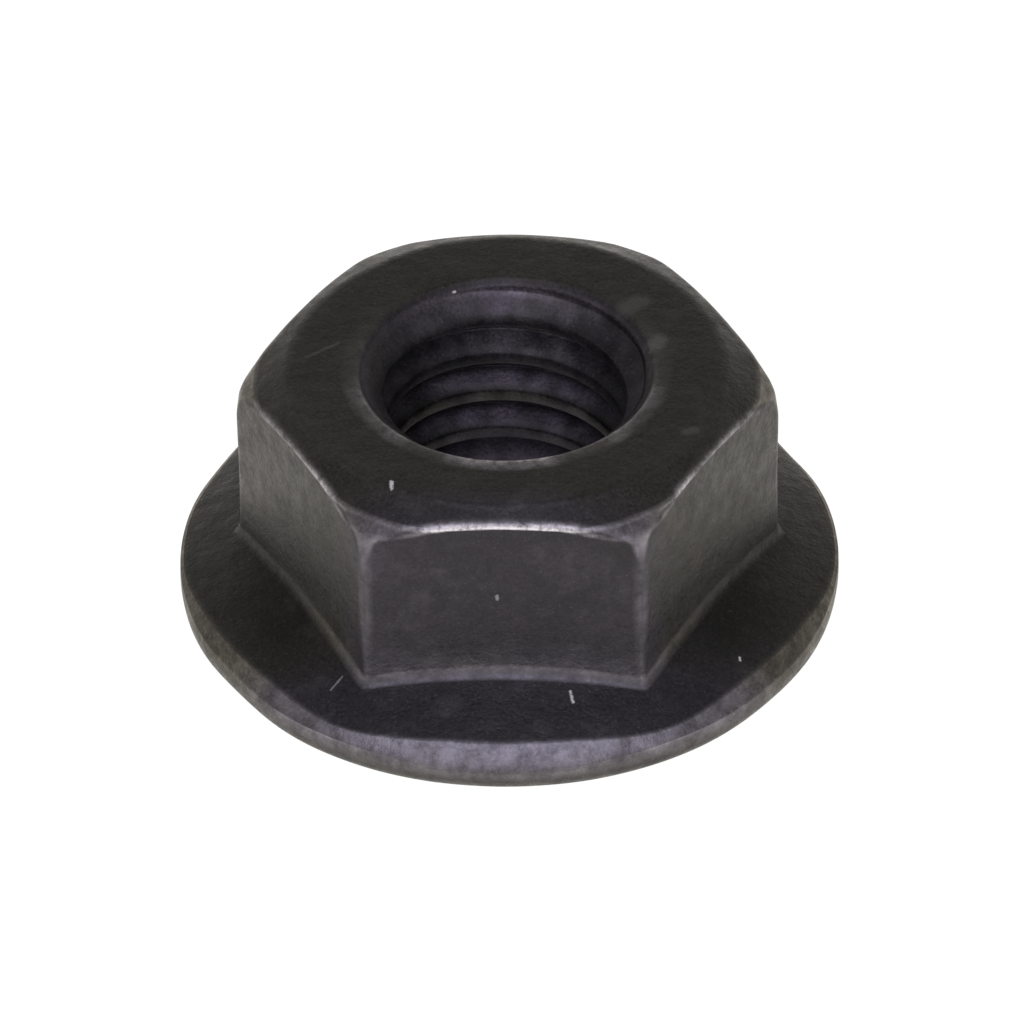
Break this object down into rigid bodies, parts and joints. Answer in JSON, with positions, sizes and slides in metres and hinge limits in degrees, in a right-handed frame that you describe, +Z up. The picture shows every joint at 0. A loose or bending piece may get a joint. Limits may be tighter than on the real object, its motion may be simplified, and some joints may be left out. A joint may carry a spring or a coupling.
{
  "type": "hex flange nut",
  "caption": "Steel hex nut with a built-in conical flange, black oxide finish, coarse right-hand thread tapped through between two countersinks",
  "frame": {"origin": "centre of the flat bearing face, on the thread axis, at the lowest point of the nut", "axes": "+Z runs up the thread axis from the bearing face to the chamfered end; two opposite corners of the hexagon lie on the X axis and two flats face +Y and -Y"},
  "size_m": [0.0142, 0.0142, 0.0058],
  "materials": {
    "black_steel": "satin"
  },
  "bodies": {
    "root": {"hex_flange_nut": "black_steel"}
  },
  "joints": []
}
